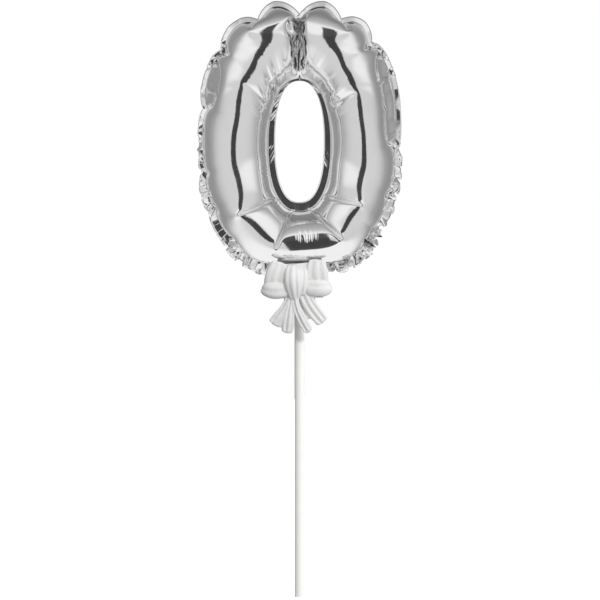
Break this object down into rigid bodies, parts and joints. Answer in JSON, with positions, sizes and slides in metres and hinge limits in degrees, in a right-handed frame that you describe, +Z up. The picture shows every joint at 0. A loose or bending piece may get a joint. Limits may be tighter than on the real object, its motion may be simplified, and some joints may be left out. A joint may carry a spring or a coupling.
{
  "type": "foil number balloon",
  "caption": "Silver foil balloon in the shape of a zero, on a push-in plastic stick with a white moulded bow clip at its neck.",
  "frame": {"origin": "centre of the stick's lower end", "axes": "+Z up along the stick, -Y out of the front of the figure, +X to the right as seen from the front"},
  "size_m": [0.0791, 0.0308, 0.2313],
  "materials": {
    "foil": "mirror-bright metallised film with fine wrinkles",
    "valve_film": "clear film",
    "bow_plastic": "glossy moulded white",
    "socket_plastic": "plain moulded white",
    "stick_plastic": "satin extruded white",
    "elastic": "translucent"
  },
  "bodies": {
    "stick": {"stick_tube": "stick_plastic"},
    "holder": {"stick_socket": "socket_plastic", "neck_band": "elastic", "bow_back": "bow_plastic"},
    "balloon": {"foil_front_panel": "foil", "foil_back_panel": "foil", "valve_film_front": "valve_film", "valve_film_back": "valve_film"},
    "bow": {"bow_front": "bow_plastic"}
  },
  "joints": [
    {"name": "stick_turn", "type": "hinge", "parent": "stick", "child": "holder", "pos_m": [0, 0, 0.1165], "axis": [0, 0, 1], "continuous": true},
    {"name": "balloon_pull", "type": "slide", "parent": "holder", "child": "balloon", "axis": [0, 0, 1], "range_m": [0, 0.02]},
    {"name": "bow_unclip", "type": "slide", "parent": "holder", "child": "bow", "axis": [0, -1, 0], "range_m": [0, 0.012]}
  ]
}
